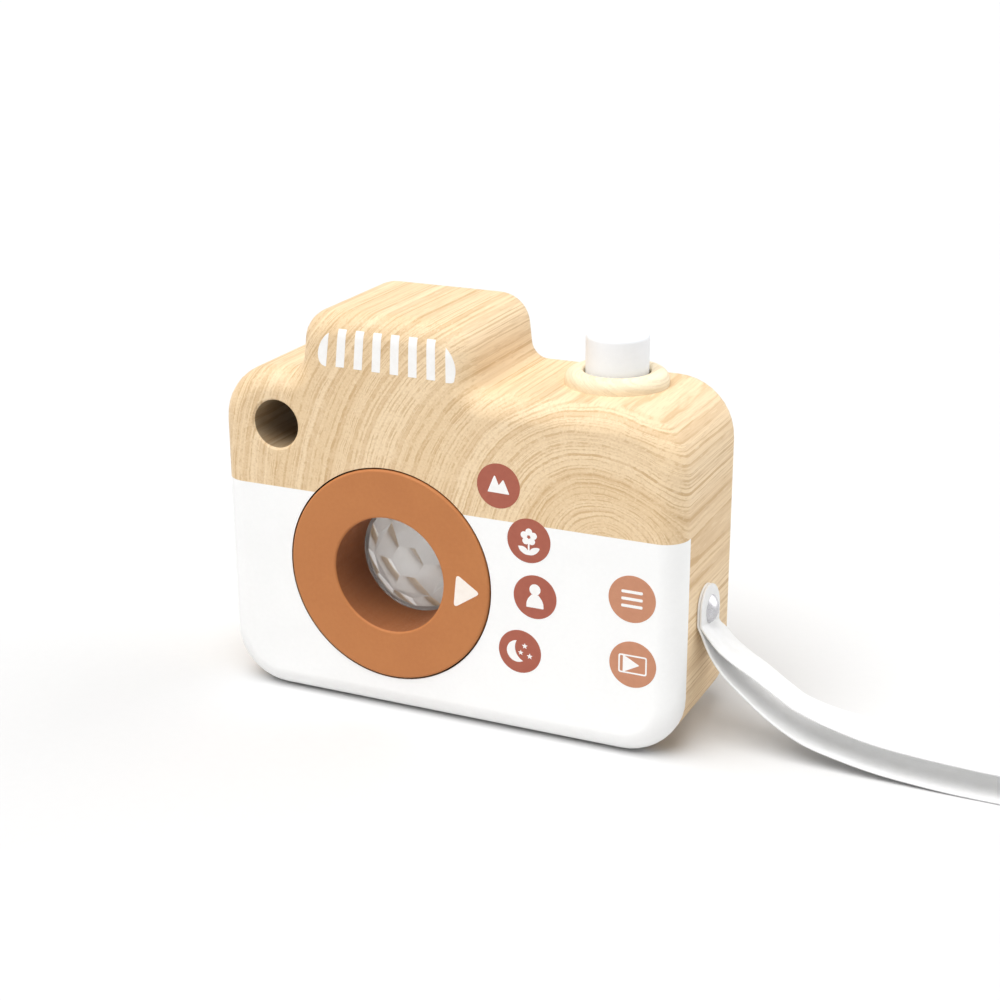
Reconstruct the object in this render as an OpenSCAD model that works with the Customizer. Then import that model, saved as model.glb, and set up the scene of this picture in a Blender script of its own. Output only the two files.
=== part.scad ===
// Wooden toy camera with a turning lens ring, a sprung shutter button and a wrist strap.
// It stands on z = 0 with its front towards -Y and its strap on the +X side. Sizes are in millimetres.

/* [Body] */
// Width of the wooden block
body_w = 120; // [110:1:135]
// Depth of the block from front to back
body_d = 41.5; // [39:0.5:50]
// Height of the shoulders above the base
shoulder_h = 84; // [82:1:95]
// Height of the hump above the shoulders
hump_rise = 15.5; // [13:0.5:20]
// Middle of the hump, from the middle of the block
hump_x = -15; // [-18:0.5:-10]
// Width of the hump where it leaves the shoulders
hump_w = 46; // [40:1:50]
// Inward lean of each side of the hump over its height
hump_lean = 1.8; // [0:0.2:3]
// Corner radius of the block, seen from the front
corner_r = 14.5; // [9:0.5:16]
// Corner radius on top of the hump
hump_r = 8; // [7:0.5:9]
// Hollow radius where the hump meets the shoulders
root_r = 4; // [2:0.5:5]
// Rounding along the front and back edges
edge_r = 6; // [3:0.5:6.5]

/* [Lens] */
// Lens axis, from the middle of the block
lens_x = -13.8; // [-16:0.2:-11]
// Height of the lens axis
lens_z = 36.1; // [35:0.1:42]
// Diameter of the lens ring
ring_d = 53.4; // [50:0.2:56]
// Thickness of the lens ring
ring_t = 9; // [7:0.5:12]
// How far the face of the ring stands out of the front
ring_proud = 0.5; // [0:0.1:3]
// Gap around the ring in its recess
ring_gap = 0.4; // [0.3:0.1:0.8]
// Rounding of the ring's edges
ring_round = 0.6; // [0.2:0.1:1]
// Wall of the ring in front of the barrel
ring_lip = 4; // [2:0.5:5]
// Hole in the ring, and bore of the barrel in front of the lens
hole_d = 29.2; // [26:0.2:31]
// Step in the barrel that the lens rests on
lens_step = 0.8; // [0.5:0.1:1.2]
// Wall of the barrel beside the lens
barrel_wall = 1.6; // [1.2:0.1:2]
// Depth of the lens rim behind the face of the ring
lens_depth = 15; // [14:0.5:20]
// Thickness of the lens rim
lens_rim_t = 3; // [2:0.5:4]
// Height of the facets in front of the lens rim
lens_crown_h = 5; // [4.5:0.5:7]
// Height of their outer row
lens_bevel_h = 2.8; // [2:0.1:3.5]
// Number of facets in the inner row, half as many as in the outer row
lens_facets = 6; // [4:1:6]
// Length of the ring that holds the lens
retainer_t = 3; // [2:0.5:4]
// Width of the rim of that ring
retainer_w = 2.2; // [1.5:0.1:3]
// Thickness of the felt washer under the ring
washer_t = 1; // [0.6:0.1:2]
// How far the washer's edge lies inside the edge of the ring
washer_inset = 2.9; // [1.5:0.1:4]

/* [Eyepiece] */
// Width of the ring at the back end of the barrel, outside the barrel
rear_rim = 3.5; // [2.5:0.1:6]
// Thickness of the ring at the back
rear_ring_t = 5; // [4:0.5:7]
// Wall of the ring at the back, behind the barrel
rear_lip = 1.6; // [1:0.2:2.4]
// Hole to look through at the back
eyepiece_d = 27; // [22:0.5:28]

/* [Viewfinder] */
// Viewfinder axis, from the left side of the block
finder_side = 16; // [14:0.5:18]
// Viewfinder axis, below the shoulders
finder_drop = 13.6; // [12:0.2:15]
// Bore of the viewfinder
finder_d = 12.1; // [10:0.1:13]
// Broken edge at both ends of the viewfinder
finder_chamfer = 0.5; // [0.2:0.1:1]

/* [Shutter] */
// Button axis, from the right side of the block
shutter_side = 24.9; // [23:0.1:28]
// Button axis, behind the middle of the block
shutter_y = 2.7; // [0:0.1:3]
// Diameter of the button
button_d = 14.9; // [13:0.1:16]
// How far the button stands out of the collar
button_show = 9.1; // [8:0.1:12]
// Rounding of the button's top edge
button_round = 1.5; // [0.5:0.1:2.5]
// Travel of the button
button_travel = 4; // [2:0.5:6]
// Gap between the button and the collar
button_gap = 0.45; // [0.3:0.05:0.6]
// Diameter of the flange that keeps the button in
flange_d = 18; // [17.5:0.1:18.4]
// Thickness of that flange
flange_t = 3; // [2:0.5:5]
// Diameter of the collar
collar_d = 24.6; // [24:0.2:27]
// Height of the collar above the shoulder
collar_h = 3.3; // [2.6:0.1:4]
// Rounding of the collar's outer edge
collar_round = 2.4; // [0.5:0.1:2.4]
// Rounding of the collar's edge around the button
collar_lip_round = 0.8; // [0.4:0.1:0.9]
// Depth of the spot face that seats the collar
collar_seat = 0.3; // [0.3:0.1:1]
// Diameter of the collar's spigot
spigot_d = 20; // [19.6:0.1:22]
// Length of the collar's spigot
spigot_h = 8; // [5:0.5:12]
// Depth of the spring pocket under the button
pocket_h = 6; // [3:0.5:8]
// Outer diameter of the spring
spring_d = 9.6; // [8:0.1:10.4]
// Wire of the spring
spring_wire = 0.9; // [0.6:0.1:1.1]
// Turns of the spring
spring_turns = 7; // [5:1:8]
// Room for the pressed spring under the button
spring_room = 9; // [8.5:0.5:14]

/* [Strap] */
// Width of the strap
strap_w = 14; // [12:0.5:16]
// Thickness of the strap
strap_t = 0.6; // [0.4:0.1:1.2]
// From the screw to the strap's round ends
strap_end = 6.4; // [5.5:0.1:8]
// Turn of the strap's ends about the screw, in degrees
strap_turn = 13; // [0:1:18]
// Height of the screw on the right side
screw_z = 32.7; // [32:0.1:40]
// Screw on the right side, behind the middle of the block
screw_y = -1.2; // [-4:0.1:4]
// Diameter of the screw's dome head
screw_head_d = 7; // [6:0.1:8]
// Height of the dome head
screw_head_h = 1.8; // [1.4:0.1:3]
// Diameter of the screw's shank
screw_d = 3.4; // [2.8:0.1:4]
// Length of the screw in the wood
screw_l = 16; // [12:1:22]

/* [Fits] */
// Radial running clearance of the barrel in the block
run_fit = 0.08; // [0.05:0.01:0.1]
// Clearance of faces that run past each other
face_gap = 0.1; // [0.05:0.05:0.2]
// Clearance of glued and screwed pieces
glue_gap = 0.03; // [0.02:0.01:0.05]

/* [Hidden] */
$fn = 96;

// How far a cut runs past the face that it opens
cut = 1;
// Steps in each corner of the block, and across each rounded edge
corner_steps = 10;
edge_steps = 7;
// What is planed off the rounded block at the front and the back
planed = 0.03;
// Steps in a small turned rounding
round_steps = 6;

// The block seen from the front: corners as x, z and radius, hollow corners with a minus
front_y = -body_d / 2;
back_y = body_d / 2;
side_x = body_w / 2;
hump_h = shoulder_h + hump_rise;
hump_half = hump_w / 2;
hump_top_half = hump_half - hump_lean;
block_corners = [
    [-side_x, 0, corner_r],
    [side_x, 0, corner_r],
    [side_x, shoulder_h, corner_r],
    [hump_x + hump_half, shoulder_h, -root_r],
    [hump_x + hump_top_half, hump_h, hump_r],
    [hump_x - hump_top_half, hump_h, hump_r],
    [hump_x - hump_half, shoulder_h, -root_r],
    [-side_x, shoulder_h, corner_r]
];
// The edge rounding leaves a little of the tightest corner
corner_left = 0.5;
edge_round = min(edge_r, hump_r - corner_left, corner_r - corner_left);

// Places along the lens axis, counted from the face of the ring towards the back
ring_face_y = front_y - ring_proud;
washer_from = ring_t + face_gap;
recess_floor = washer_from + washer_t;
block_back = body_d + ring_proud;
rear_from = block_back - rear_ring_t;
barrel_end = block_back - rear_lip;
lens_back = lens_depth + lens_rim_t;
// Radii around the lens axis
ring_r = ring_d / 2;
hole_r = hole_d / 2;
seat_r = hole_r + lens_step;
barrel_r = seat_r + barrel_wall;
lens_r = seat_r - glue_gap;
// Gap around the facets of the lens, and the share of their radius that each row begins with
facet_gap = 0.6;
bevel_share = 0.74;
crown_share = 0.32;
crown_r = hole_r - facet_gap;
rear_r = barrel_r + rear_rim;
washer_in_r = barrel_r + ring_gap;
washer_out_r = ring_r - washer_inset;

// The viewfinder's axis
finder_x = finder_side - side_x;
finder_z = shoulder_h - finder_drop;

// The button's axis, and heights in the shutter
shutter_x = side_x - shutter_side;
collar_base = shoulder_h - collar_seat;
collar_top = shoulder_h + collar_h;
spigot_end = collar_base - spigot_h;
button_top = collar_top + button_show;
flange_top = spigot_end - face_gap;
flange_base = flange_top - flange_t;
chamber_floor = flange_base - button_travel - spring_room;
pocket_top = flange_base + pocket_h;
// Radii in the shutter
button_r = button_d / 2;
collar_r = collar_d / 2;
collar_hole_r = button_r + button_gap;
spigot_r = spigot_d / 2;
flange_r = flange_d / 2;
chamber_r = flange_r + ring_gap;
pocket_r = spring_d / 2 + button_gap;
spring_r = (spring_d - spring_wire) / 2;
// Steps around one turn of the spring, and sides of its wire
spring_steps = 14;
wire_sides = 6;

// The strap's two ends on the right side, one on the other under the screw
ply_gap = 0.06;
inner_x = glue_gap + strap_t / 2;
outer_x = inner_x + strap_t + ply_gap;
head_x = outer_x + strap_t / 2 + glue_gap;
strap_edge = strap_t / 4;
tab_steps = 6;
strap_steps = 2;
strap_hole_gap = 0.3;
screw_tip = 4;
// Where the strap leaves the screw's head, and its middle where it lies just over the floor
leave_z = screw_z - screw_head_d / 2;
floor_gap = 0.1;
floor_z = strap_t / 2 + floor_gap;
// The strap's middle line below the screw: x from the right side, z from the floor, and its share of the turn
strap_route = [
    [inner_x, leave_z + 0.5, 1], [inner_x + 0.06, leave_z - 0.3, 1], [inner_x + 0.5, leave_z - 1.2, 1],
    [1.5, 26.6, 1], [2.4, 24.5, 1], [3.7, 22, 1], [5.6, 19.3, 1], [8.2, 16.5, 1], [11.6, 13.6, 1],
    [15.4, 10.8, 0.9], [19, 8.5, 0.75], [22.8, 6.6, 0.55], [27, 5, 0.35], [33, 3.6, 0.2], [43, 2, 0],
    [54, 0.95, 0], [66, floor_z, 0], [87, floor_z, 0], [108, floor_z, 0], [116, 0.9, 0], [121.5, 2.2, 0],
    [125.5, 5, 0], [127, 8.8, -0.1], [125, 12.4, -0.2], [120, 14.2, -0.4], [112, 13.6, -0.6],
    [101, 11.6, -0.9], [87, 9.6, -1.1], [73, 8.6, -1], [48, 8.5, -0.1], [35, 9.8, 0.5], [25, 12.4, 0.85],
    [19.8, 15.2, 0.9], [13.8, 19, 0.8], [9.2, 21.6, 0.75], [5.4, 24.3, 0.75],
    [outer_x + 1.7, leave_z - 2.05, 0.85], [outer_x + 0.5, leave_z - 0.85, 1],
    [outer_x + 0.03, leave_z - 0.1, 1], [outer_x, leave_z + 0.5, 1]
];

// Plane geometry
function flat(p) = [p[0], p[1]];
function unit(v) = v / norm(v);
function heading(v) = atan2(v[1], v[0]);
function half_turn(a) = a - 360 * floor((a + 180) / 360);
function arc(centre, r, from, to, steps) =
    [for (k = [0:steps]) let (a = from + (to - from) * k / steps) centre + r * [cos(a), sin(a)]];

// A rounded corner as its centre, its radius, and the angles that its arc runs between
function corner_arc(before, at, after) =
    let (a = unit(flat(before) - flat(at)),
         b = unit(flat(after) - flat(at)),
         half = acos(a * b) / 2,
         r = abs(at[2]),
         centre = flat(at) + unit(a + b) * r / sin(half),
         from = heading(flat(at) + a * r / tan(half) - centre),
         to = heading(flat(at) + b * r / tan(half) - centre))
    [centre, at[2], from, from + half_turn(to - from)];

block_arcs = let (n = len(block_corners))
    [for (i = [0:n - 1])
        corner_arc(block_corners[(i + n - 1) % n], block_corners[i], block_corners[(i + 1) % n])];

// The block's outline at a depth y, drawn in by an inset
function block_ring(y, inset) =
    [for (c = block_arcs)
        for (p = arc(c[0], abs(c[1]) - sign(c[1]) * inset, c[2], c[3], corner_steps))
            [p[0], y, p[1]]];

front_rings = [for (k = [0:edge_steps]) let (t = 90 * k / edge_steps)
    [edge_round * (1 - cos(t)), edge_round * (1 - sin(t))]];
block_rings = concat(
    [for (r = front_rings) block_ring(front_y - planed + r[0], r[1])],
    [for (k = [edge_steps:-1:0]) block_ring(back_y + planed - front_rings[k][0], front_rings[k][1])]);

// A closed solid through rings of points, each counterclockwise when seen along the way
module swept(rings) {
    n = len(rings[0]);
    last = (len(rings) - 1) * n;
    walls = [for (i = [0:len(rings) - 2]) for (j = [0:n - 1])
        let (a = i * n + j, b = i * n + (j + 1) % n)
        for (face = [[a, b, b + n], [a, b + n, a + n]]) face];
    start = [[for (j = [n - 1:-1:0]) j]];
    end = [[for (j = [0:n - 1]) last + j]];
    polyhedron([for (r = rings) for (p = r) p], concat(walls, start, end));
}

// Puts a turned shape on the lens axis, with its height running back from the face of the ring
module on_lens_axis() {
    translate([lens_x, ring_face_y, lens_z]) rotate([-90, 0, 0]) children();
}

// Puts a turned shape on the button's axis
module on_button_axis(z) {
    translate([shutter_x, shutter_y, z]) children();
}

// Puts a turned shape on the screw's axis, with its height running out of the right side
module on_screw_axis(x) {
    translate([side_x + x, screw_y, screw_z]) rotate([0, 90, 0]) children();
}

// The bore for the lens: a recess for the ring, a run for the barrel and a recess at the back
module lens_cut() {
    recess_r = ring_r + ring_gap;
    run_r = barrel_r + run_fit;
    back_r = rear_r + ring_gap;
    back_floor = rear_from - face_gap;
    on_lens_axis() rotate_extrude() polygon([
        [0, -cut], [recess_r, -cut], [recess_r, recess_floor], [run_r, recess_floor],
        [run_r, back_floor], [back_r, back_floor], [back_r, block_back + cut], [0, block_back + cut]]);
}

// The viewfinder, with its edges broken at both faces
module finder_cut() {
    r = finder_d / 2;
    mouth_r = r + finder_chamfer + cut;
    translate([finder_x, front_y, finder_z]) rotate([-90, 0, 0]) rotate_extrude() polygon([
        [0, -cut], [mouth_r, -cut], [r, finder_chamfer], [r, body_d - finder_chamfer],
        [mouth_r, body_d + cut], [0, body_d + cut]]);
}

// The chamber for the button and its spring, the bore for the spigot and the collar's seat
module shutter_cut() {
    bore_r = spigot_r + glue_gap;
    seat_face_r = collar_r + glue_gap;
    open_z = shoulder_h + cut;
    on_button_axis(0) rotate_extrude() polygon([
        [0, chamber_floor], [chamber_r, chamber_floor], [chamber_r, spigot_end], [bore_r, spigot_end],
        [bore_r, collar_base], [seat_face_r, collar_base], [seat_face_r, open_z], [0, open_z]]);
}

module screw_cut() {
    on_screw_axis(-screw_l - glue_gap) cylinder(h = screw_l + cut, r = screw_d / 2 + glue_gap);
}

// The rounded block, planed flat at the front and the back
module blank() {
    intersection() {
        swept(block_rings);
        translate([-side_x - cut, front_y, -cut]) cube([body_w + 2 * cut, body_d, hump_h + 2 * cut]);
    }
}

// The wooden block with its bores
module body_block() {
    color("burlywood") difference() {
        blank();
        lens_cut();
        finder_cut();
        shutter_cut();
        screw_cut();
    }
}

// The painted disc on the front, with a pocket at its back for the barrel
module lens_ring() {
    c = ring_round;
    pocket = barrel_r + glue_gap;
    color("peru") on_lens_axis() rotate_extrude() polygon(concat(
        arc([hole_r + c, c], c, 180, 270, round_steps),
        arc([ring_r - c, c], c, 270, 360, round_steps),
        [[ring_r, ring_t], [pocket, ring_t], [pocket, ring_lip], [hole_r, ring_lip]]));
}

// The tube that turns in the block and holds the lens against a step
module lens_barrel() {
    from = ring_lip + glue_gap;
    color("sienna") on_lens_axis() rotate_extrude() polygon([
        [hole_r, from], [barrel_r, from], [barrel_r, barrel_end], [seat_r, barrel_end],
        [seat_r, lens_depth], [hole_r, lens_depth]]);
}

// The clear lens: a round rim with two rows of flat facets around a flat middle, towards the front
module kaleidoscope_lens() {
    rim_from = lens_depth + glue_gap;
    sunk = lens_rim_t / 2;
    bevel_r = crown_r * bevel_share;
    top_r = crown_r * crown_share;
    outer = 2 * lens_facets;
    color("lightcyan") on_lens_axis() {
        translate([0, 0, rim_from]) cylinder(h = lens_rim_t - glue_gap, r = lens_r);
        translate([0, 0, lens_depth - lens_crown_h])
            cylinder(h = lens_crown_h - lens_bevel_h, r1 = top_r, r2 = bevel_r, $fn = lens_facets);
        translate([0, 0, lens_depth - lens_bevel_h])
            cylinder(h = lens_bevel_h, r1 = bevel_r, r2 = crown_r, $fn = outer);
        translate([0, 0, lens_depth]) cylinder(h = sunk, r = crown_r, $fn = outer);
    }
}

// The ring behind the lens
module lens_retainer() {
    color("dimgray") on_lens_axis() translate([0, 0, lens_back + glue_gap]) difference() {
        cylinder(h = retainer_t, r = lens_r);
        translate([0, 0, -cut]) cylinder(h = retainer_t + 2 * cut, r = lens_r - retainer_w);
    }
}

// The ring on the barrel's back end, flush with the back of the block
module rear_ring() {
    c = ring_round;
    eye_r = eyepiece_d / 2;
    pocket = barrel_r + glue_gap;
    lip_from = barrel_end + glue_gap;
    color("wheat") on_lens_axis() rotate_extrude() polygon(concat(
        [[pocket, rear_from], [rear_r, rear_from]],
        arc([rear_r - c, block_back - c], c, 0, 90, round_steps),
        arc([eye_r + c, block_back - c], c, 90, 180, round_steps),
        [[eye_r, lip_from], [pocket, lip_from]]));
}

// The felt washer on the floor of the ring's recess
module friction_washer() {
    color("darkslategray") on_lens_axis() translate([0, 0, washer_from]) difference() {
        cylinder(h = washer_t, r = washer_out_r);
        translate([0, 0, -cut]) cylinder(h = washer_t + 2 * cut, r = washer_in_r);
    }
}

// The turned ring around the button, with a spigot glued into the shoulder
module shutter_collar() {
    c = collar_round;
    lip = collar_lip_round;
    color("wheat") on_button_axis(0) rotate_extrude() polygon(concat(
        [[collar_hole_r, spigot_end], [spigot_r, spigot_end], [spigot_r, collar_base],
         [collar_r, collar_base]],
        arc([collar_r - c, collar_top - c], c, 0, 90, round_steps),
        arc([collar_hole_r + lip, collar_top - lip], lip, 90, 180, round_steps)));
}

// The button, with a flange that stops under the spigot and a pocket for the spring
module shutter_button() {
    c = button_round;
    color("white") on_button_axis(0) rotate_extrude() polygon(concat(
        [[0, pocket_top], [pocket_r, pocket_top], [pocket_r, flange_base], [flange_r, flange_base],
         [flange_r, flange_top], [button_r, flange_top]],
        arc([button_r - c, button_top - c], c, 0, 90, round_steps),
        [[0, button_top]]));
}

// The coil spring between the floor of its chamber and the button's pocket
module shutter_spring() {
    wire_r = spring_wire / 2;
    low = chamber_floor + wire_r + face_gap;
    rise = pocket_top - face_gap - wire_r - low;
    steps = spring_turns * spring_steps;
    rings = [for (i = [0:steps])
        let (a = 360 * i / spring_steps, out = [cos(a), sin(a), 0])
        [for (s = [0:wire_sides - 1]) let (b = 360 * s / wire_sides)
            out * (spring_r + wire_r * cos(b)) + [0, 0, low + rise * i / steps + wire_r * sin(b)]]];
    color("silver") on_button_axis(0) swept(rings);
}

// A smooth curve through the points of a route
function route_point(r, i) = r[max(0, min(len(r) - 1, i))];
function smooth(r, i, t) =
    let (a = route_point(r, i - 1),
         b = route_point(r, i),
         c = route_point(r, i + 1),
         d = route_point(r, i + 2))
    b + (c - a) * t / 2 + (2 * a - 5 * b + 4 * c - d) * t * t / 2 + (3 * b - a - 3 * c + d) * t * t * t / 2;
function smooth_route(r, steps) = concat(
    [for (i = [0:len(r) - 2]) for (k = [0:steps - 1]) smooth(r, i, k / steps)],
    [r[len(r) - 1]]);

// The strap's cross-section, its half width drawn in at the round ends
function strap_section(half) =
    let (h = strap_t / 2, e = strap_edge)
    [[half, e - h], [half, h - e], [half - e, h], [e - half, h],
     [-half, h - e], [-half, e - h], [e - half, -h], [half - e, -h]];
// The cross-section at a point of the route, turned about the direction out of the side
function strap_ring(at, along, half) =
    let (turn = at[2] * strap_turn)
    [for (p = strap_section(half))
        let (lift = along[0] * p[1])
        [side_x + at[0] - along[1] * p[1],
         screw_y - p[0] * cos(turn) + lift * sin(turn),
         at[1] + p[0] * sin(turn) + lift * cos(turn)]];

// The white wrist strap: one band from the inner end, out and round, and back to the outer end
module strap() {
    half = strap_w / 2;
    down = [for (k = [1:tab_steps]) let (a = 90 * k / tab_steps)
        strap_ring([inner_x, screw_z + strap_end * cos(a), 1], [0, -1], half * sin(a))];
    up = [for (k = [tab_steps:-1:1]) let (a = 90 * k / tab_steps)
        strap_ring([outer_x, screw_z + strap_end * cos(a), 1], [0, 1], half * sin(a))];
    line = smooth_route(strap_route, strap_steps);
    last = len(line) - 1;
    loop = [for (i = [0:last])
        strap_ring(line[i], unit(flat(line[min(i + 1, last)] - line[max(i - 1, 0)])), half)];
    color("whitesmoke") difference() {
        swept(concat(down, loop, up));
        on_screw_axis(-cut) cylinder(h = head_x + 2 * cut, r = screw_d / 2 + strap_hole_gap);
    }
}

// The dome head screw through both ends of the strap
module strap_screw() {
    head_r = screw_head_d / 2;
    shank_r = screw_d / 2;
    dome_r = (head_r * head_r + screw_head_h * screw_head_h) / (2 * screw_head_h);
    dome_z = head_x + screw_head_h - dome_r;
    rim = asin((head_x - dome_z) / dome_r);
    color("gainsboro") on_screw_axis(0) rotate_extrude() polygon(concat(
        [[0, -screw_l], [shank_r, screw_tip - screw_l], [shank_r, head_x]],
        arc([0, dome_z], dome_r, rim, 90, round_steps)));
}

body_block();
lens_ring();
lens_barrel();
kaleidoscope_lens();
lens_retainer();
rear_ring();
friction_washer();
shutter_collar();
shutter_button();
shutter_spring();
strap();
strap_screw();
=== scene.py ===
"""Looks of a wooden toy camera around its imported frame: wood, paint, prints, strap, floor and light."""
import math

import bmesh
import bpy
from mathutils import Matrix, Vector
from mathutils.bvhtree import BVHTree
from mathutils.geometry import delaunay_2d_cdt


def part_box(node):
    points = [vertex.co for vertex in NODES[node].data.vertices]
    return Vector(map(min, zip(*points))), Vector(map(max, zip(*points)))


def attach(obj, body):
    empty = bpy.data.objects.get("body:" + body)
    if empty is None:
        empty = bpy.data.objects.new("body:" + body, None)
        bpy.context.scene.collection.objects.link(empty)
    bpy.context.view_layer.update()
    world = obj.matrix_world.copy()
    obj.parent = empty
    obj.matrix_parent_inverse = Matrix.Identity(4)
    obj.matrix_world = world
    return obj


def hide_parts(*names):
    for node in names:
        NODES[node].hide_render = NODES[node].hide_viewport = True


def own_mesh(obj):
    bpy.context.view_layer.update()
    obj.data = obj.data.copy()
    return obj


MM = 0.001
# Points closer than this, in metres, are one
WELD = 2e-6

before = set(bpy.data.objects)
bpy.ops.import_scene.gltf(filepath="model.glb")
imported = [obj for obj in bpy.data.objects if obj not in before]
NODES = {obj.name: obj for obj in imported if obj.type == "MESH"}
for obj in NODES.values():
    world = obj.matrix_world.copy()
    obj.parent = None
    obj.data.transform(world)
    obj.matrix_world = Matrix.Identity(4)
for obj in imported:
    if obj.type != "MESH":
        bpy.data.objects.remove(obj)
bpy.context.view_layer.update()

# Places taken from the frame, in millimetres
BODY_LOW, BODY_HIGH = (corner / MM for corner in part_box("body_block"))
RING_LOW, RING_HIGH = (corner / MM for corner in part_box("lens_ring"))
SCREW_LOW, SCREW_HIGH = (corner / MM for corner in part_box("strap_screw"))
FRONT_Y = BODY_LOW.y
SIDE_X = BODY_HIGH.x
LENS_X = (RING_LOW.x + RING_HIGH.x) / 2
LENS_Z = (RING_LOW.z + RING_HIGH.z) / 2
RING_R = (RING_HIGH.x - RING_LOW.x) / 2
LENS_LOW, LENS_HIGH = (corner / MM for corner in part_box("kaleidoscope_lens"))
LENS_R = (LENS_HIGH.x - LENS_LOW.x) / 2
SCREW_Y = (SCREW_LOW.y + SCREW_HIGH.y) / 2
SCREW_Z = (SCREW_LOW.z + SCREW_HIGH.z) / 2


# Camera

def add_camera():
    """The photograph's view: 68 mm on a 36 mm square frame, from the front right and above."""
    at = Vector((188.15, -396.97, 205.74)) * MM
    target = Vector((6.15, 0, 51.504)) * MM
    roll = math.radians(-0.2)
    data = bpy.data.cameras.new("photo_camera")
    data.lens = 68.34
    data.sensor_width = 36
    data.clip_start = 0.01
    camera = bpy.data.objects.new("photo_camera", data)
    bpy.context.collection.objects.link(camera)
    aim = (target - at).to_track_quat("-Z", "Y").to_matrix().to_4x4()
    camera.matrix_world = Matrix.Translation(at) @ aim @ Matrix.Rotation(roll, 4, "Z")
    bpy.context.scene.camera = camera


# Materials

def srgb(r, g, b):
    """A colour written as 0 to 255 on screen, as the linear colour that shaders take."""
    linear = []
    for level in (r / 255, g / 255, b / 255):
        linear.append(level / 12.92 if level <= 0.04045 else ((level + 0.055) / 1.055) ** 2.4)
    return (*linear, 1)


class Shader:
    """A material and its node tree, with short calls for the nodes that are used here."""

    def __init__(self, name):
        self.material = bpy.data.materials.new(name)
        self.material.use_nodes = True
        self.tree = self.material.node_tree
        self.tree.nodes.clear()
        self.bsdf = self.node("ShaderNodeBsdfPrincipled")
        output = self.node("ShaderNodeOutputMaterial")
        self.tree.links.new(self.bsdf.outputs[0], output.inputs[0])

    def node(self, kind, **settings):
        """A new node with its settings."""
        made = self.tree.nodes.new(kind)
        for key, value in settings.items():
            setattr(made, key, value)
        return made

    def put(self, socket, value):
        """Links an output to a socket, or sets a plain value on it."""
        if isinstance(value, bpy.types.NodeSocket):
            self.tree.links.new(value, socket)
        else:
            socket.default_value = value

    def surface(self, **values):
        """Sets sockets of the main shader: roughness=0.5 is its Roughness."""
        for key, value in values.items():
            self.put(self.bsdf.inputs[key.replace("_", " ").title().replace("Ior", "IOR")], value)

    def coords(self, scale=(1, 1, 1), shift=(0, 0, 0)):
        """Places on the piece in millimetres, scaled and then shifted."""
        place = self.node("ShaderNodeTexCoord").outputs["Object"]
        mapping = self.node("ShaderNodeMapping")
        self.put(mapping.inputs["Vector"], place)
        mapping.inputs["Scale"].default_value = [s / MM for s in scale]
        mapping.inputs["Location"].default_value = shift
        return mapping.outputs[0]

    def math(self, operation, a, b):
        made = self.node("ShaderNodeMath", operation=operation)
        self.put(made.inputs[0], a)
        self.put(made.inputs[1], b)
        return made.outputs[0]

    def vector(self, operation, a, b):
        made = self.node("ShaderNodeVectorMath", operation=operation)
        self.put(made.inputs[0], a)
        self.put(made.inputs[3] if operation == "SCALE" else made.inputs[1], b)
        return made.outputs["Value" if operation == "LENGTH" else "Vector"]

    def noise(self, place, scale, detail=2.0, rough=0.5, dims="3D", colour=False):
        made = self.node("ShaderNodeTexNoise", noise_dimensions=dims)
        self.put(made.inputs["W" if dims == "1D" else "Vector"], place)
        made.inputs["Scale"].default_value = scale
        made.inputs["Detail"].default_value = detail
        made.inputs["Roughness"].default_value = rough
        return made.outputs["Color" if colour else "Fac"]

    def step(self, value, low, high, to_low=0.0, to_high=1.0):
        """A smooth step of a value from one level to another."""
        made = self.node("ShaderNodeMapRange", interpolation_type="SMOOTHSTEP")
        for socket, given in zip(made.inputs, (value, low, high, to_low, to_high)):
            self.put(socket, given)
        return made.outputs[0]

    def mix(self, share, a, b):
        made = self.node("ShaderNodeMix", data_type="RGBA")
        self.put(made.inputs["Factor"], share)
        self.put(made.inputs[6], a)
        self.put(made.inputs[7], b)
        return made.outputs[2]

    def bump(self, height, depth_mm, strength=1.0):
        made = self.node("ShaderNodeBump")
        made.inputs["Strength"].default_value = strength
        made.inputs["Distance"].default_value = depth_mm * MM
        self.put(made.inputs["Height"], height)
        self.put(self.bsdf.inputs["Normal"], made.outputs[0])


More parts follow.
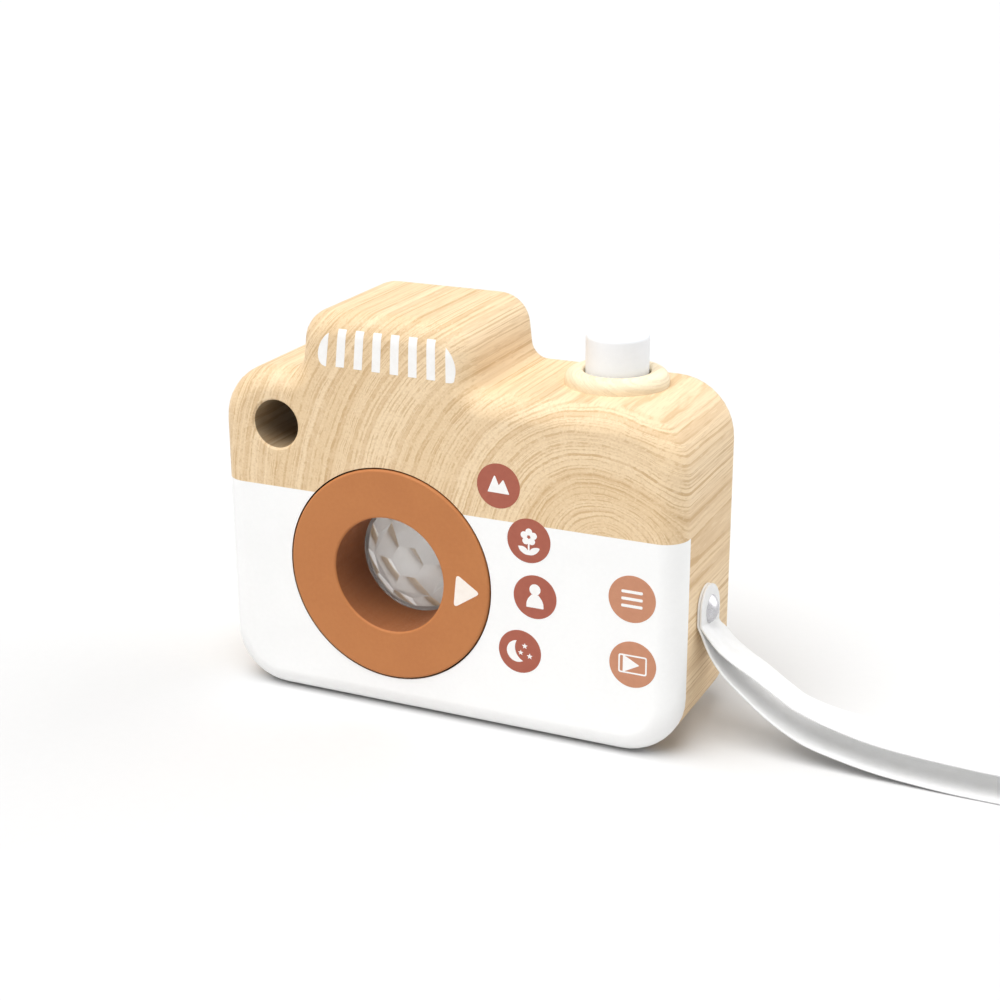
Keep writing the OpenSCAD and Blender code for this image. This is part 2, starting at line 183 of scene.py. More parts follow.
def wood(name, pith, squeeze=0.9, mark=1.0, tint=None, tint_share=0.0):
    """Pale oiled wood: growth rings around a pith along the depth, broken dark lines, fibres and flecks."""
    s = Shader(name)
    shift = (-pith[0] * squeeze, -pith[1], -pith[2])
    place = s.coords((squeeze, 1, 1), shift)
    flat = s.vector("MULTIPLY", place, (1, 0.1, 1))
    warped = place
    # A slow drift of the rings, a wave and a fine jitter: scale, detail and reach in millimetres
    for scale, detail, reach in ((0.018, 1, 8), (0.13, 2, 1.2), (1.1, 2, 0.3)):
        sway = s.vector("SUBTRACT", s.noise(flat, scale, detail, 0.5, colour=True), (0.5, 0.5, 0.5))
        warped = s.vector("ADD", warped, s.vector("SCALE", sway, reach))
    r = s.vector("LENGTH", s.vector("MULTIPLY", warped, (1, 0, 1)), (0, 0, 0))
    bands = s.noise(r, 0.1, 2, 0.5, "1D")
    rings = s.noise(r, 0.42, 2, 0.55, "1D")
    lines = s.noise(r, 1.5, 2, 0.65, "1D")
    breaks = s.noise(s.vector("MULTIPLY", place, (1, 0.08, 1)), 0.35, 3, 0.65)
    fibre = s.noise(s.vector("MULTIPLY", place, (1, 0.03, 1)), 1.6, 3, 0.65)
    flecks = s.noise(s.vector("MULTIPLY", place, (1, 0.08, 1)), 2.1, 2, 0.5)
    ring_line = s.math("MULTIPLY", s.step(rings, 0.52, 0.62), s.step(breaks, 0.25, 0.6, 0.5, 1.0))
    fine_line = s.math("MULTIPLY", s.step(lines, 0.5, 0.58), s.step(breaks, 0.4, 0.58, 0.2, 1.0))
    tone = s.mix(s.step(bands, 0.35, 0.65), srgb(241, 216, 179), srgb(231, 203, 163))
    marks = [
        (ring_line, 0.5, srgb(208, 174, 130)),
        (fine_line, 0.55, srgb(196, 160, 114)),
        (s.step(fibre, 0.45, 0.7), 0.34, srgb(206, 172, 128)),
        (s.step(flecks, 0.6, 0.7), 0.3, srgb(248, 230, 200)),
        (s.step(flecks, 0.4, 0.3), 0.22, srgb(178, 142, 98)),
    ]
    for share, strength, colour in marks:
        tone = s.mix(s.math("MULTIPLY", share, strength * mark), tone, colour)
    if tint:
        tone = s.mix(tint_share, tone, tint)
    s.surface(base_color=tone, roughness=s.step(fine_line, 0, 1, 0.55, 0.68), specular_ior_level=0.3)
    hollow = s.math("ADD", s.math("MULTIPLY", fine_line, 0.6), s.math("MULTIPLY", fibre, 0.5))
    s.bump(s.math("MULTIPLY", hollow, -1), 0.04, 0.5)
    return s.material


def paint(name, colour, deep, roughness, depth_mm=0.03):
    """Water paint on wood: the grain shows through a little, with a fine orange peel and uneven coats."""
    s = Shader(name)
    place = s.coords()
    coats = s.noise(place, 0.05, 3, 0.6)
    peel = s.noise(place, 1.6, 2, 0.5)
    grain = s.noise(s.vector("MULTIPLY", place, (1, 0.05, 1)), 0.9, 3, 0.6)
    shade = s.math("ADD", s.math("MULTIPLY", coats, 0.6), s.math("MULTIPLY", grain, 0.4))
    s.surface(base_color=s.mix(s.step(shade, 0.35, 0.65), deep, colour))
    s.surface(roughness=s.step(peel, 0.3, 0.7, roughness - 0.05, roughness + 0.07))
    s.surface(specular_ior_level=0.25)
    relief = s.math("ADD", s.math("MULTIPLY", peel, 0.5), s.math("MULTIPLY", grain, 0.5))
    s.bump(relief, depth_mm, 0.5)
    return s.material


def ink(name, colour, deep):
    """A screen print: a thin even film with faint mottling."""
    s = Shader(name)
    place = s.coords()
    mottle = s.noise(place, 0.7, 4, 0.65)
    s.surface(base_color=s.mix(s.step(mottle, 0.3, 0.7), deep, colour))
    s.surface(roughness=s.step(mottle, 0.3, 0.7, 0.55, 0.67), specular_ior_level=0.25)
    s.bump(s.noise(place, 3.2, 2, 0.5), 0.008, 0.5)
    return s.material


def clear_plastic(name):
    """Clear acrylic with polished facets and faint moulding streaks."""
    s = Shader(name)
    haze = s.noise(s.coords(), 0.25, 3, 0.6)
    s.surface(base_color=s.mix(s.step(haze, 0.3, 0.7), srgb(252, 251, 250), srgb(246, 244, 242)))
    s.surface(roughness=s.step(haze, 0.3, 0.8, 0.05, 0.14))
    s.surface(ior=1.49, transmission_weight=0.8)
    s.bump(haze, 0.03, 0.3)
    return s.material


def moulded(name, colour, deep):
    """Moulded matt plastic with a fine spark finish."""
    s = Shader(name)
    grain = s.noise(s.coords(), 4, 2, 0.5)
    s.surface(base_color=s.mix(grain, deep, colour), roughness=s.step(grain, 0.3, 0.7, 0.45, 0.6))
    s.bump(grain, 0.02, 0.5)
    return s.material


def felt(name):
    """Pressed wool felt."""
    s = Shader(name)
    place = s.coords()
    wool = s.noise(place, 2.5, 5, 0.75)
    s.surface(base_color=s.mix(wool, srgb(92, 78, 66), srgb(150, 132, 114)), roughness=0.95)
    s.surface(sheen_weight=0.5)
    s.bump(wool, 0.25, 0.8)
    return s.material


def metal(name, colour, deep, roughness, scratch):
    """Plated or drawn metal with fine scratches along one way."""
    s = Shader(name)
    place = s.coords(scratch)
    marks = s.noise(place, 1, 2, 0.5)
    s.surface(base_color=s.mix(marks, deep, colour), metallic=1.0)
    s.surface(roughness=s.step(marks, 0.3, 0.7, roughness - 0.05, roughness + 0.08))
    s.bump(marks, 0.003, 0.2)
    return s.material


def leather(name):
    """White coated leather: soft pebbles, pores and a faint yellowing."""
    s = Shader(name)
    place = s.coords()
    cells = s.node("ShaderNodeTexVoronoi", feature="SMOOTH_F1")
    s.put(cells.inputs["Vector"], place)
    cells.inputs["Scale"].default_value = 1.5
    pebble = cells.outputs["Distance"]
    creases = s.noise(place, 0.35, 4, 0.6)
    s.surface(base_color=s.mix(s.step(creases, 0.3, 0.7), srgb(233, 233, 232), srgb(238, 238, 238)))
    s.surface(roughness=s.step(pebble, 0.1, 0.7, 0.42, 0.56))
    relief = s.math("ADD", s.math("MULTIPLY", pebble, -0.7), s.math("MULTIPLY", creases, 0.5))
    s.bump(relief, 0.035, 0.5)
    return s.material


# Mesh helpers

# Edges that turn by more than this many degrees stay sharp
EDGE_SHARP = 32
FACET_SHARP = 3


def add_piece(name, mesh_builder, materials, body, sharp):
    """Makes an object of a bmesh, smooth between its sharp edges, that rides on a body."""
    mesh = bpy.data.meshes.new(name)
    mesh_builder.to_mesh(mesh)
    mesh_builder.free()
    for material in materials:
        mesh.materials.append(material)
    mesh.polygons.foreach_set("use_smooth", [True] * len(mesh.polygons))
    mesh.set_sharp_from_angle(angle=math.radians(sharp))
    piece = bpy.data.objects.new(name, mesh)
    bpy.context.collection.objects.link(piece)
    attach(piece, body)
    return piece


def swept(sections):
    """A closed bmesh through rings of points, with an end cap on the first and the last."""
    bm = bmesh.new()
    rows = [[bm.verts.new(at) for at in section] for section in sections]
    for one, two in zip(rows, rows[1:]):
        for j in range(len(one)):
            k = (j + 1) % len(one)
            bm.faces.new((one[j], one[k], two[k], two[j]))
    bm.faces.new(rows[0])
    bm.faces.new(reversed(rows[-1]))
    bmesh.ops.recalc_face_normals(bm, faces=bm.faces)
    return bm


def even_normals(piece):
    """Large flat faces keep their own direction beside roundings."""
    evener = piece.modifiers.new("even_normals", "WEIGHTED_NORMAL")
    evener.mode = "FACE_AREA"
    evener.weight = 100
    evener.keep_sharp = True


def dress(node, materials, sharp=EDGE_SHARP):
    """Gives a CAD node its materials, shaded smooth between sharp edges."""
    piece = NODES[node]
    piece.data.materials.clear()
    for material in materials:
        piece.data.materials.append(material)
    piece.data.polygons.foreach_set("use_smooth", [True] * len(piece.data.polygons))
    weld = piece.modifiers.new("weld", "WELD")
    weld.merge_threshold = WELD
    split = piece.modifiers.new("sharp_edges", "EDGE_SPLIT")
    split.split_angle = math.radians(sharp)
    even_normals(piece)
    return piece


# The strap

STRAP_W = 14
STRAP_T = 0.6
# From the screw to the strap's round ends, and the most that a cross-section is turned, in degrees
STRAP_END = 6.4
STRAP_TURN = 13
SCREW_HOLE_R = 2
DRILL_SIDES = 48
STRAP_SHARP = 50
GLUE_GAP = 0.03
PLY_GAP = 0.06
FLOOR_GAP = 0.1
INNER_X = GLUE_GAP + STRAP_T / 2
OUTER_X = INNER_X + STRAP_T + PLY_GAP
LEAVE_Z = SCREW_LOW.z
FLOOR_Z = STRAP_T / 2 + FLOOR_GAP
# The strap's middle line below the screw: x from the right side, z from the floor, and share of the turn
STRAP_ROUTE = [
    (INNER_X, LEAVE_Z + 0.5, 1), (INNER_X + 0.06, LEAVE_Z - 0.3, 1), (INNER_X + 0.5, LEAVE_Z - 1.2, 1),
    (1.5, 26.6, 1), (2.4, 24.5, 1), (3.7, 22, 1), (5.6, 19.3, 1), (8.2, 16.5, 1), (11.6, 13.6, 1),
    (15.4, 10.8, 0.9), (19, 8.5, 0.75), (22.8, 6.6, 0.55), (27, 5, 0.35), (33, 3.6, 0.2), (43, 2, 0),
    (54, 0.95, 0), (66, FLOOR_Z, 0), (87, FLOOR_Z, 0), (108, FLOOR_Z, 0), (116, 0.9, 0), (121.5, 2.2, 0),
    (125.5, 5, 0), (127, 8.8, -0.1), (125, 12.4, -0.2), (120, 14.2, -0.4), (112, 13.6, -0.6),
    (101, 11.6, -0.9), (87, 9.6, -1.1), (73, 8.6, -1), (48, 8.5, -0.1), (35, 9.8, 0.5), (25, 12.4, 0.85),
    (19.8, 15.2, 0.9), (13.8, 19, 0.8), (9.2, 21.6, 0.75), (5.4, 24.3, 0.75),
    (OUTER_X + 1.7, LEAVE_Z - 2.05, 0.85), (OUTER_X + 0.5, LEAVE_Z - 0.85, 1),
    (OUTER_X + 0.03, LEAVE_Z - 0.1, 1), (OUTER_X, LEAVE_Z + 0.5, 1),
]


def smooth_route(points, steps):
    """A smooth curve through the points of a route."""
    points = [Vector(p) for p in points]
    last = len(points) - 1
    line = []
    for i in range(last):
        a, b, c, d = (points[max(0, min(last, i + k))] for k in (-1, 0, 1, 2))
        for k in range(steps):
            t = k / steps
            line.append(
                b + (c - a) * t / 2 + (2 * a - 5 * b + 4 * c - d) * t ** 2 / 2
                + (3 * b - a - 3 * c + d) * t ** 3 / 2
            )
    return line + [points[last]]


def strap_section(half):
    """The band's outline across its width: flat faces that end in round edges."""
    edge = STRAP_T / 2
    least = 0.02
    inner = max(half - edge, least)
    across = 8
    turns = 6
    outline = [(inner - 2 * inner * k / across, edge) for k in range(across + 1)]
    outline += [(-inner - edge * math.sin(math.pi * k / turns), edge * math.cos(math.pi * k / turns))
                for k in range(1, turns)]
    outline += [(2 * inner * k / across - inner, -edge) for k in range(across + 1)]
    outline += [(inner + edge * math.sin(math.pi * k / turns), -edge * math.cos(math.pi * k / turns))
                for k in range(1, turns)]
    return outline


def strap_rings():
    """Each cross-section of the strap: its point on the route, direction along the band and half width."""
    half = STRAP_W / 2
    tab_steps = 12
    start = 0.4
    angles = [math.pi / 2 * (k + start) / (tab_steps + start) for k in range(tab_steps + 1)]
    ends = [(SCREW_Z + STRAP_END * math.cos(a), half * math.sin(a)) for a in angles]
    rings = [((INNER_X, z, 1), (0, -1), reach) for z, reach in ends]
    route_steps = 6
    line = smooth_route(STRAP_ROUTE, route_steps)
    for i, at in enumerate(line):
        along = (line[min(i + 1, len(line) - 1)] - line[max(i - 1, 0)]).xy.normalized()
        rings.append((at, along, half))
    rings += [((OUTER_X, z, 1), (0, 1), reach) for z, reach in reversed(ends)]
    return rings


def strap_point(at, along, across, out):
    """A point of a cross-section, which is turned about the direction out of the side."""
    turn = math.radians(at[2] * STRAP_TURN)
    lift = along[0] * out
    y = SCREW_Y - across * math.cos(turn) + lift * math.sin(turn)
    z = at[1] + across * math.sin(turn) + lift * math.cos(turn)
    return Vector((SIDE_X + at[0] - along[1] * out, y, z)) * MM


def bore(piece, at, axis, r, depth, sharp):
    """Drills a round hole into a piece; sizes in millimetres."""
    bm = bmesh.new()
    aim = Vector((0, 0, 1)).rotation_difference(Vector(axis)).to_matrix().to_4x4()
    bmesh.ops.create_cone(
        bm, cap_ends=True, segments=DRILL_SIDES, radius1=r * MM, radius2=r * MM, depth=depth * MM,
        matrix=Matrix.Translation(Vector(at) * MM) @ aim)
    mesh = bpy.data.meshes.new("drill")
    bm.to_mesh(mesh)
    bm.free()
    drill = bpy.data.objects.new("drill", mesh)
    bpy.context.collection.objects.link(drill)
    cut = piece.modifiers.new("bore", "BOOLEAN")
    cut.operation = "DIFFERENCE"
    cut.object = drill
    drilled = piece.evaluated_get(bpy.context.evaluated_depsgraph_get())
    piece.data = bpy.data.meshes.new_from_object(drilled)
    piece.data.set_sharp_from_angle(angle=math.radians(sharp))
    piece.modifiers.remove(cut)
    bpy.data.objects.remove(drill)


def add_strap(material):
    """The wrist strap: one band from under the screw, out and round, and back under the screw."""
    rings = strap_rings()
    sections = []
    for at, along, half in rings:
        sections.append([strap_point(at, along, across, out) for across, out in strap_section(half)])
    piece = add_piece("wrist_strap", swept(sections), [material], "camera", STRAP_SHARP)
    bore(piece, (SIDE_X, SCREW_Y, SCREW_Z), (1, 0, 0), SCREW_HOLE_R, 4 * OUTER_X, STRAP_SHARP)
    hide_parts("strap")


# The shutter's spring

SPRING_WIRE = 0.9
SPRING_TURNS = 7
# Steps around one turn, sides of the wire, and the angle that its end faces stay sharp from
SPRING_STEPS = 32
WIRE_SIDES = 12
SPRING_SHARP = 50


def add_spring(material):
    """The coil spring in its chamber, built at one length; in use it shortens by the button's travel."""
    low, high = (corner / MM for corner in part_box("shutter_spring"))
    wire_r = SPRING_WIRE / 2
    coil_r = (high.x - low.x) / 2 - wire_r
    axis = (low + high) / 2
    foot = low.z + wire_r
    rise = high.z - wire_r - foot
    steps = SPRING_TURNS * SPRING_STEPS
    sections = []
    for i in range(steps + 1):
        a = 2 * math.pi * i / SPRING_STEPS
        section = []
        for k in range(WIRE_SIDES):
            b = 2 * math.pi * k / WIRE_SIDES
            reach = coil_r + wire_r * math.cos(b)
            z = foot + rise * i / steps + wire_r * math.sin(b)
            section.append(Vector((axis.x + reach * math.cos(a), axis.y + reach * math.sin(a), z)) * MM)
        sections.append(section)
    piece = add_piece("coil_spring", swept(sections), [material], "camera", SPRING_SHARP)
    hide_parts("shutter_spring")
    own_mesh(piece)


# The painted block

# The white field's upper edge on the front, and how far it runs round the sides
PAINT_TOP = 54.53
PAINT_BACK = -14.0
# The viewfinder's axis, and a radius around its bore
FINDER_X = -44
FINDER_Z = 70.4
FINDER_R = 6.2
# A radius around the ring's recess, and a depth just in front of the back
RECESS_R = RING_R + 0.45
RECESS_BACK = BODY_HIGH.y - 0.1
# Faces that lie within this angle of each other, in degrees, are joined
FLAT_ANGLE = 0.1
# Slots of the block: bare wood, white paint, and wood darkened as painted shade in the recess and the
# viewfinder bore
BARE, PAINTED, BORE_SHADE = range(3)


def off_lens_axis(at):
    """How far a point is from the lens axis."""
    return math.hypot(at.x - LENS_X, at.z - LENS_Z)


def add_block(materials):
    """The block with its white field, and shade painted into the lens recess and the viewfinder bore: a
    copy of the solid, cut along the edge of the paint.

    Its surface comes back for the prints to lie on.
    """
    bm = bmesh.new()
    bm.from_mesh(NODES["body_block"].data)
    bmesh.ops.remove_doubles(bm, verts=bm.verts, dist=WELD)
    for at, normal in (((0, 0, PAINT_TOP), (0, 0, 1)), ((0, PAINT_BACK, 0), (0, 1, 0))):
        bmesh.ops.bisect_plane(
            bm, geom=bm.verts[:] + bm.edges[:] + bm.faces[:], dist=1e-7,
            plane_co=Vector(at) * MM, plane_no=normal)
    for face in bm.faces:
        at = face.calc_center_median() / MM
        in_recess = off_lens_axis(at) < RECESS_R and at.y < RECESS_BACK
        in_finder = math.hypot(at.x - FINDER_X, at.z - FINDER_Z) < FINDER_R and abs(face.normal.y) < 0.2
        # Faces in the lens recess and the viewfinder bore take darkened wood: painted shade
        if in_recess or in_finder:
            face.material_index = BORE_SHADE
        elif at.z < PAINT_TOP and at.y < PAINT_BACK:
            face.material_index = PAINTED
        else:
            face.material_index = BARE
    tree = BVHTree.FromBMesh(bm)
    bmesh.ops.dissolve_limit(
        bm, angle_limit=math.radians(FLAT_ANGLE), verts=bm.verts, edges=bm.edges, delimit={"MATERIAL"})
    piece = add_piece("block", bm, materials, "camera", EDGE_SHARP)
    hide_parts("body_block")
    even_normals(piece)
    return tree


# Prints: outlines as x, z in millimetres, seen from the front

# How far the films stand out of the surface, and how far their edges reach into it
PAINT_LIFT = 0.05
DISC_LIFT = 0.04
SIGN_LIFT = 0.07
FILM_ROOT = 0.03
FILM_SHARP = 40
# Where rays towards the surface start, in front of the block
CAST_Y = FRONT_Y - 20
BRICK_R = 5.45
COPPER_R = 5.75


def circle(x, z, r, steps=72):
    return [(x + r * math.cos(2 * math.pi * k / steps), z + r * math.sin(2 * math.pi * k / steps))
            for k in range(steps)]


def rounded(corners, r, steps=6):
    """A polygon whose corners are rounded, all with one radius or each with its own."""
    radii = r if isinstance(r, (list, tuple)) else [r] * len(corners)
    outline = []
    for i, corner in enumerate(corners):
        at = Vector(corner)
        a = (Vector(corners[i - 1]) - at).normalized()
        b = (Vector(corners[(i + 1) % len(corners)]) - at).normalized()
        half = math.acos(max(-1, min(1, a.dot(b)))) / 2
        start = at + a * radii[i] / math.tan(half)
        end = at + b * radii[i] / math.tan(half)
        for k in range(steps + 1):
            t = k / steps
            outline.append(tuple(start * (1 - t) ** 2 + at * 2 * t * (1 - t) + end * t ** 2))
    return outline


def star(x, z, r, points=5):
    outline = []
    for k in range(2 * points):
        a = math.pi / 2 + math.pi * k / points
        reach = r if k % 2 == 0 else r * 0.42
        outline.append((x + reach * math.cos(a), z + reach * math.sin(a)))
    return outline


def crescent(x, z, r, turn, bite, shift, steps=40):
    """A moon: a disc less a second disc of radius bite, whose middle lies shift away, towards turn."""
    reach = (shift ** 2 + r ** 2 - bite ** 2) / (2 * shift)
    outer = math.acos(reach / r)
    inner = math.acos((reach - shift) / bite)
    turn = math.radians(turn)
    outline = []
    for k in range(steps + 1):
        a = turn + outer + (2 * math.pi - 2 * outer) * k / steps
        outline.append((x + r * math.cos(a), z + r * math.sin(a)))
    bx = x + shift * math.cos(turn)
    bz = z + shift * math.sin(turn)
    for k in range(1, steps):
        a = turn - inner - (2 * math.pi - 2 * inner) * k / steps
        outline.append((bx + bite * math.cos(a), bz + bite * math.sin(a)))
    return outline


def moved(outline, x, z):
    return [(x + px, z + pz) for px, pz in outline]


def close_set(outline, longest):
    """The outline with more points, so that no step is longer than the given length."""
    dense = []
    for a, b in zip(outline, outline[1:] + outline[:1]):
        parts = max(1, math.ceil(math.dist(a, b) / longest))
        for k in range(parts):
            t = k / parts
            dense.append((a[0] + (b[0] - a[0]) * t, a[1] + (b[1] - a[1]) * t))
    return dense


def within(point, loops):
    """Whether a point is inside an outline with holes."""
    x, z = point
    odd = False
    for loop in loops:
        for (ax, az), (bx, bz) in zip(loop, loop[1:] + loop[:1]):
            if (az > z) != (bz > z) and x < ax + (z - az) * (bx - ax) / (bz - az):
                odd = not odd
    return odd


def add_print(name, shapes, surface, material, body, lift, step=1.2):
    """A thin film of ink on the surface behind its outlines, each shape an outline and its holes."""
    shapes = [[close_set(loop, step) for loop in shape] for shape in shapes]
    points = []
    edges = []
    for shape in shapes:
        for loop in shape:
            first = len(points)
            points += loop
            edges += [(first + k, first + (k + 1) % len(loop)) for k in range(len(loop))]
    low_x, high_x = min(p[0] for p in points), max(p[0] for p in points)
    low_z, high_z = min(p[1] for p in points), max(p[1] for p in points)
    for i in range(1, int((high_x - low_x) / step) + 1):
        for k in range(1, int((high_z - low_z) / step) + 1):
            spot = (low_x + i * step - step / 2, low_z + k * step - step / 2)
            if any(within(spot, shape) for shape in shapes):
                points.append(spot)
    flat, _, faces, *_ = delaunay_2d_cdt([Vector(p) for p in points], edges, [], 0, 1e-5)
    bm = bmesh.new()
    tops = {}
    bases = {}
    for face in faces:
        middle = sum((flat[i] for i in face), Vector((0, 0))) / len(face)
        if not any(within(middle, shape) for shape in shapes):
            continue
        for i in face:
            if i not in tops:
                start = Vector((flat[i].x, CAST_Y, flat[i].y)) * MM
                at, normal, _, _ = surface.ray_cast(start, Vector((0, 1, 0)))
                tops[i] = bm.verts.new(at + normal * lift * MM)
                bases[i] = bm.verts.new(at - normal * FILM_ROOT * MM)
        bm.faces.new([tops[i] for i in face])
        bm.faces.new([bases[i] for i in reversed(face)])
    below = {tops[i]: bases[i] for i in tops}
    rims = [e for e in bm.edges if len(e.link_faces) == 1 and e.verts[0] in below]
    for rim in rims:
        a, b = rim.verts
        bm.faces.new((a, b, below[b], below[a]))
    bmesh.ops.recalc_face_normals(bm, faces=bm.faces)
    add_piece(name, bm, [material], body, FILM_SHARP)


def stripe_outlines():
    """Eight upright stripes that fill a long field with round ends, on the hump over the lens."""
    low, high, width = 86.5, 95.9, 2.2
    left_end = [
        (-28.3, 94.8), (-29.2, 94.1), (-30.2, 92.9), (-31.0, 91.3),
        (-31.4, 89.6), (-31.2, 87.9), (-30.5, 86.9), (-29.35, 86.5),
    ]
    right_end = [
        (2.0, 94.4), (2.8, 93.4), (3.5, 92.2), (4.05, 90.5),
        (4.25, 88.8), (4.1, 87.2), (3.75, 86.2), (2.05, 86.1),
    ]
    outlines = [[[tuple(p) for p in smooth_route(end, 5)]] for end in (left_end, right_end)]
    for k in range(1, 7):
        foot = -31.55 + 4.785 * k
        head = -30.45 + 4.62 * k
        base = low - 0.08 * k + 0.3
        corners = [(foot, base), (foot + width, base), (head + width, high), (head, high)]
        outlines.append([rounded(corners, 0.12)])
    return outlines


def mountain_sign():
    return [[rounded([(-2.75, -1.65), (2.8, -1.75), (1.25, 1.75), (0.1, 0.2), (-0.95, 2.75)],
                     [0.12, 0.12, 0.25, 0.05, 0.3])]]


def flower_sign():
    head = 0.95
    petals = []
    for k in range(5):
        a = math.pi / 2 + 2 * math.pi * k / 5
        petals.append([circle(1.25 * math.cos(a), head + 1.25 * math.sin(a), 0.86, 32)])
    core = [circle(0, head, 1.1, 32), circle(0, head, 0.5, 24)]
    stem = [rounded([(-0.22, -2.9), (0.22, -2.9), (0.22, -0.1), (-0.22, -0.1)], 0.08)]
    bowl = [
        (-2.7, -1.55), (-2.2, -2.6), (-1.1, -3.35), (0, -3.5), (1.1, -3.35), (2.2, -2.6), (2.7, -1.55),
        (1.5, -1.5), (0.6, -1.95), (0, -2.6), (-0.6, -1.95), (-1.5, -1.5), (-2.7, -1.55),
    ]
    leaves = [[tuple(p) for p in smooth_route(bowl, 5)][:-1]]
    return petals + [core, stem, leaves]


def person_sign():
    body = [
        (-2.2, -2.7), (2.2, -2.7), (2.15, -1.5), (1.75, -0.5),
        (0.9, 0.55), (-0.9, 0.55), (-1.75, -0.5), (-2.15, -1.5),
    ]
    return [[circle(0, 1.85, 1.4, 40)], [rounded(body, [0.15, 0.15, 0.3, 0.5, 0.3, 0.3, 0.5, 0.3])]]


def night_sign():
    moon = crescent(-0.6, 0, 2.75, 18, 3.7, 3.2)
    return [[moon], [star(1.27, 1.58, 0.78)], [star(0.24, -0.24, 0.72)], [star(2.55, -0.85, 0.8)]]


def list_sign():
    bars = []
    for z in (-1.75, 0, 1.75):
        low, high = z - 0.36, z + 0.36
        bars.append([rounded([(-2.6, low), (2.6, low), (2.6, high), (-2.6, high)], 0.3)])
    return bars


def playback_sign():
    frame_out = rounded([(-3.5, -2.35), (3.5, -2.35), (3.5, 2.35), (-3.5, 2.35)], 0.6)
    frame_in = rounded([(-3.12, -1.97), (3.12, -1.97), (3.12, 1.97), (-3.12, 1.97)], 0.3)
    arrow = rounded([(-2.4, -2.2), (1.7, 0), (-2.4, 2.2)], 0.15)
    return [[frame_out, frame_in], [arrow]]


def add_prints(block, ring, white, brick, copper, cream):
    """The stripes on the hump, the discs with their signs, and the pointer on the ring."""
    add_print("hump_stripes", stripe_outlines(), block, white, "camera", PAINT_LIFT, 0.6)
    # Each disc's name, middle, radius, ink and sign
    signs = [
        ("mountain", 15.26, 62.93, BRICK_R, brick, mountain_sign()),
        ("flower", 22.96, 50.59, BRICK_R, brick, flower_sign()),
        ("person", 24.57, 36.78, BRICK_R, brick, person_sign()),
        ("night", 20.71, 22.29, BRICK_R, brick, night_sign()),
        ("list", 48.67, 40.31, COPPER_R, copper, list_sign()),
        ("playback", 49.14, 24.11, COPPER_R, copper, playback_sign()),
    ]
    for name, x, z, r, ground, sign in signs:
        disc = [[circle(x, z, r)]]
        add_print(name + "_disc", disc, block, ground, "camera", DISC_LIFT)
        shapes = [[moved(loop, x, z) for loop in shape] for shape in sign]
        add_print(name + "_sign", shapes, block, white, "camera", SIGN_LIFT)
    pointer = rounded([(4.45, 39.5), (3.6, 30.75), (10.6, 35.4)], 0.75)
    add_print("ring_pointer", [[pointer]], ring, cream, "lens", PAINT_LIFT)


# The turning lens

# Faces that look towards the axis at least this straight are the wall of the ring's hole, which takes a
# darker paint as painted shade
HOLE_WALL = 0.97
TUBE_R = LENS_R + 0.4


def dress_ring(paints):
    """The ring, with a darker second paint on the wall of its hole: painted shade in the bore."""
    for polygon in dress("lens_ring", paints).data.polygons:
        at = polygon.center / MM
        inward = Vector((LENS_X - at.x, 0, LENS_Z - at.z)).normalized()
        polygon.material_index = int(polygon.normal.dot(inward) > HOLE_WALL)


def dress_barrel(paints):
    """The barrel in the darker paint, painted shade for its bore, with a second paint inside the tube
    behind the lens.
    """
    for polygon in dress("lens_barrel", paints).data.polygons:
        at = polygon.center / MM
        polygon.material_index = int(off_lens_axis(at) < TUBE_R and at.y > LENS_HIGH.y)


# Floor and light

# Half the floor's width in metres, and how far it lies under the base in millimetres
FLOOR_HALF = 6
FLOOR_DROP = 0.05
# Light from all round, and where each sun stands, its spread in degrees and its level
SKY_LEVEL = 0.24
KEY_SUN = ((-0.1, -0.37, 0.92), 50, 1.08)
FILL_SUN = ((0.66, 0.55, 0.45), 60, 0.36)


def add_floor():
    """A plain pale floor, which lights up to white and keeps the shadow."""
    bm = bmesh.new()
    bmesh.ops.create_grid(bm, x_segments=2, y_segments=2, size=FLOOR_HALF)
    mesh = bpy.data.meshes.new("floor")
    bm.to_mesh(mesh)
    bm.free()
    s = Shader("floor_paper")
    tooth = s.noise(s.coords(), 0.4, 2, 0.5)
    s.surface(base_color=s.mix(tooth, srgb(221, 221, 221), srgb(223, 223, 223)), roughness=0.9)
    s.surface(specular_ior_level=0.1)
    mesh.materials.append(s.material)
    floor = bpy.data.objects.new("floor", mesh)
    floor.location.z = -FLOOR_DROP * MM
    bpy.context.collection.objects.link(floor)


def add_sun(name, towards, spread, level):
    """Soft light from one side of the sky; a level of 1 shows a facing colour as it is written."""
    data = bpy.data.lights.new(name, "SUN")
    data.angle = math.radians(spread)
    data.energy = level * math.pi
    lamp = bpy.data.objects.new(name, data)
    bpy.context.collection.objects.link(lamp)
    lamp.matrix_world = (-Vector(towards)).to_track_quat("-Z", "Y").to_matrix().to_4x4()


def add_world(strength):
    """Even light from all round, and plain white for what the camera, gloss and glass see of it."""
    world = bpy.data.worlds.new("studio")
    world.use_nodes = True
    bpy.context.scene.world = world
    tree = world.node_tree
    tree.nodes.clear()
    path = tree.nodes.new("ShaderNodeLightPath")
    level = tree.nodes.new("ShaderNodeMapRange")
    background = tree.nodes.new("ShaderNodeBackground")
    output = tree.nodes.new("ShaderNodeOutputWorld")
    seen = path.outputs["Is Camera Ray"]
    for ray in ("Is Glossy Ray", "Is Transmission Ray"):
        either = tree.nodes.new("ShaderNodeMath")
        either.operation = "MAXIMUM"
        tree.links.new(seen, either.inputs[0])
        tree.links.new(path.outputs[ray], either.inputs[1])
        seen = either.outputs[0]
    tree.links.new(seen, level.inputs["Value"])
    level.inputs["To Min"].default_value = strength
    background.inputs["Color"].default_value = (1, 1, 1, 1)
    tree.links.new(level.outputs[0], background.inputs["Strength"])
    tree.links.new(background.outputs[0], output.inputs[0])


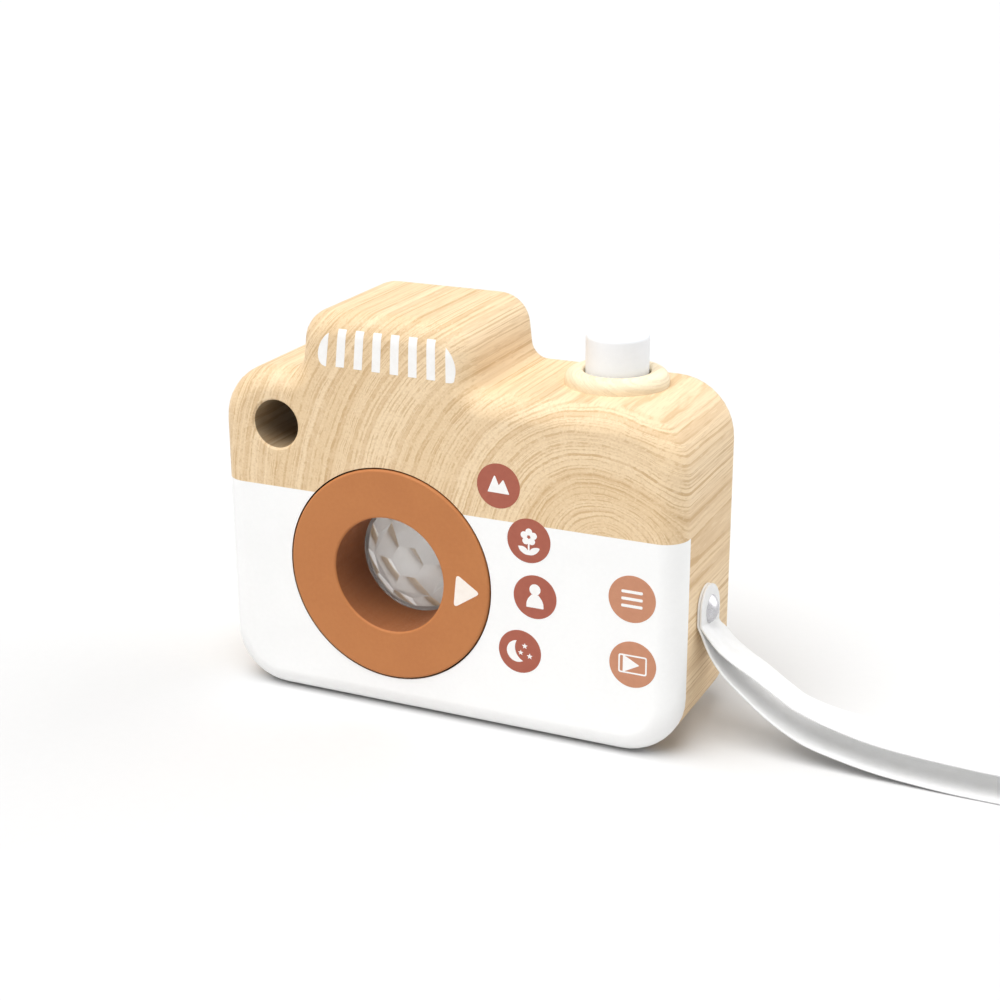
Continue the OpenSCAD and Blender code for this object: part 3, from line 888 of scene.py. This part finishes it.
def add_light():
    """Even light, with a soft sun from above the front and a weaker one from behind on the right."""
    add_world(SKY_LEVEL)
    add_sun("key", *KEY_SUN)
    add_sun("fill", *FILL_SUN)


def tree_of(node):
    """A node's surface, for the prints to lie on."""
    bm = bmesh.new()
    bm.from_mesh(NODES[node].data)
    tree = BVHTree.FromBMesh(bm)
    bm.free()
    return tree


# The scene

bpy.context.scene.view_settings.view_transform = "Standard"
add_camera()
add_strap(leather("white_leather"))

white = paint("white_paint", srgb(250, 250, 249), srgb(247, 247, 246), 0.45)
terracotta = paint("terracotta_paint", srgb(191, 124, 74), srgb(186, 119, 71), 0.6)
# A darker terracotta: painted shade on the wall of the ring's hole and in the barrel's bore
bore_shade_paint = paint("bore_shade_paint", srgb(156, 98, 60), srgb(148, 92, 56), 0.6)
white_ink = ink("white_ink", srgb(248, 247, 245), srgb(244, 242, 239))
brick_ink = ink("brick_ink", srgb(171, 98, 80), srgb(166, 93, 76))
copper_ink = ink("copper_ink", srgb(200, 142, 112), srgb(195, 137, 107))
cream_ink = ink("cream_ink", srgb(250, 242, 233), srgb(246, 236, 226))
block_pith = (41.5, 0, 50)
bare_wood = wood("wood", block_pith)
# Wood darkened with a brown tint: painted shade in the lens recess and the viewfinder bore
bore_shade_wood = wood("bore_shade_wood", block_pith, tint=srgb(70, 52, 32), tint_share=0.6)
collar_wood = wood("collar_wood", (70, 0, 140), mark=1.2, tint=srgb(252, 245, 220), tint_share=0.5)
spring_steel = metal("spring_steel", srgb(198, 198, 202), srgb(170, 170, 175), 0.3, (4, 4, 4))
nickel = metal("nickel_screw", srgb(196, 195, 198), srgb(186, 185, 188), 0.26, (0.3, 0.9, 0.9))

block_surface = add_block([bare_wood, white, bore_shade_wood])
ring_surface = tree_of("lens_ring")
add_prints(block_surface, ring_surface, white_ink, brick_ink, copper_ink, cream_ink)

dress_ring([terracotta, bore_shade_paint])
dress_barrel([bore_shade_paint, white])
dress("kaleidoscope_lens", [clear_plastic("clear_acrylic")], FACET_SHARP)
dress("lens_retainer", [moulded("white_plastic", srgb(240, 240, 239), srgb(232, 232, 231))])
dress("rear_ring", [wood("ring_wood", (30, 0, 70))])
dress("friction_washer", [felt("felt")])
dress("shutter_collar", [collar_wood])
dress("shutter_button", [paint("button_paint", srgb(243, 246, 250), srgb(240, 243, 247), 0.45)])
add_spring(spring_steel)
dress("strap_screw", [nickel])

add_floor()
add_light()
